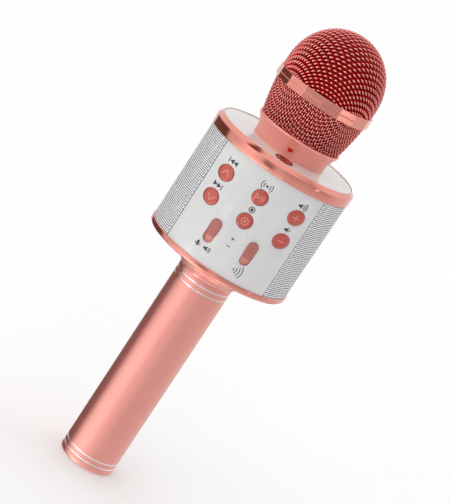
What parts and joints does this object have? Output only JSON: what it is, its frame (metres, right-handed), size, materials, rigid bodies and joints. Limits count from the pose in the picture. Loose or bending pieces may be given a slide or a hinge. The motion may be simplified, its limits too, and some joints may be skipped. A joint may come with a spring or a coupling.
{
  "type": "toy microphone",
  "caption": "Hand-held toy microphone: round battery handle, drum with push buttons, sliders, side speakers and rear sockets, and an unscrewing mesh head on a flared neck.",
  "frame": {"origin": "centre of the end cap's bottom face, where the microphone stands upright", "axes": "+Z along the microphone from handle to head, -Y out of the front panel with the buttons, +X to the right seen from the front"},
  "size_m": [0.075, 0.075, 0.2469],
  "materials": {
    "rose_satin": "satin rose-gold paint",
    "rose_gloss": "polished rose-gold plating",
    "rose_mesh": "satin rose-gold woven wire",
    "rose_button": "semi-matte rose paint",
    "white_panel": "gloss white",
    "speaker_mesh": "perforated silver sheet",
    "inner_plastic": "moulded black",
    "speaker_frame": "black pressed steel",
    "speaker_paper": "black speaker paper",
    "bare_metal": "bright plated steel",
    "battery_wrap": "shrink wrap",
    "circuit_board": "green solder mask",
    "switch_plastic": "moulded black",
    "power_red": "dark red gloss",
    "lens_red": "clear dark red",
    "foam": "open-cell foam",
    "lead_cover": "soft insulation"
  },
  "bodies": {
    "root": {"handle_tube": "rose_satin", "end_cap": "rose_satin", "handle_collar": "rose_gloss", "battery": "battery_wrap", "battery_cradle": "inner_plastic", "battery_contacts": "bare_metal", "bottom_plate": "white_panel", "top_plate": "white_panel", "bottom_rim": "rose_gloss", "top_rim": "rose_gloss", "front_panel": "white_panel", "rear_panel": "white_panel", "left_grille": "speaker_mesh", "right_grille": "speaker_mesh", "chassis": "inner_plastic", "left_speaker_frame": "speaker_frame", "right_speaker_frame": "speaker_frame", "left_speaker_cone": "speaker_paper", "right_speaker_cone": "speaker_paper", "left_speaker_magnet": "bare_metal", "right_speaker_magnet": "bare_metal", "control_board": "circuit_board", "push_switches": "switch_plastic", "slide_controls": "bare_metal", "power_bezel": "rose_gloss", "power_switch": "switch_plastic", "port_board": "circuit_board", "usb_socket": "bare_metal", "card_slot": "bare_metal", "charge_socket": "bare_metal", "audio_jack": "switch_plastic", "handle_screws": "bare_metal", "base_screws": "bare_metal", "board_screws": "bare_metal", "neck_collar": "rose_gloss", "indicator_lens": "lens_red", "neck_insert": "inner_plastic", "capsule_holder": "inner_plastic", "mic_capsule": "bare_metal", "battery_leads": "lead_cover", "mic_lead": "lead_cover"},
    "head": {"upper_grille": "rose_mesh", "lower_grille": "rose_mesh", "grille_band": "rose_gloss", "screw_ring": "inner_plastic", "foam_liner": "foam"},
    "previous_button": {"previous_button": "rose_button"},
    "play_button": {"play_button": "rose_button"},
    "volume_up_button": {"volume_up_button": "rose_button"},
    "next_button": {"next_button": "rose_button"},
    "record_button": {"record_button": "rose_button"},
    "volume_down_button": {"volume_down_button": "rose_button"},
    "power_button": {"power_button": "power_red"},
    "mic_volume_slider": {"mic_volume_slider": "rose_button"},
    "echo_slider": {"echo_slider": "rose_button"}
  },
  "joints": [
    {"name": "head_lift", "type": "slide", "parent": "root", "child": "head", "axis": [0, 0, 1], "range_m": [0, 0.03]},
    {"name": "previous_push", "type": "slide", "parent": "root", "child": "previous_button", "axis": [0, 1, 0], "range_m": [0, 0.0008], "stiffness_N_per_m": 400},
    {"name": "play_push", "type": "slide", "parent": "root", "child": "play_button", "axis": [0, 1, 0], "range_m": [0, 0.0008], "stiffness_N_per_m": 400},
    {"name": "volume_up_push", "type": "slide", "parent": "root", "child": "volume_up_button", "axis": [0, 1, 0], "range_m": [0, 0.0008], "stiffness_N_per_m": 400},
    {"name": "next_push", "type": "slide", "parent": "root", "child": "next_button", "axis": [0, 1, 0], "range_m": [0, 0.0008], "stiffness_N_per_m": 400},
    {"name": "record_push", "type": "slide", "parent": "root", "child": "record_button", "axis": [0, 1, 0], "range_m": [0, 0.0008], "stiffness_N_per_m": 400},
    {"name": "volume_down_push", "type": "slide", "parent": "root", "child": "volume_down_button", "axis": [0, 1, 0], "range_m": [0, 0.0008], "stiffness_N_per_m": 400},
    {"name": "power_push", "type": "slide", "parent": "root", "child": "power_button", "axis": [0, 0, -1], "range_m": [0, 0.0006], "stiffness_N_per_m": 500},
    {"name": "mic_volume_slide", "type": "slide", "parent": "root", "child": "mic_volume_slider", "axis": [0, 0, -1], "range_m": [0, 0.0039]},
    {"name": "echo_slide", "type": "slide", "parent": "root", "child": "echo_slider", "axis": [0, 0, -1], "range_m": [0, 0.0039]}
  ]
}
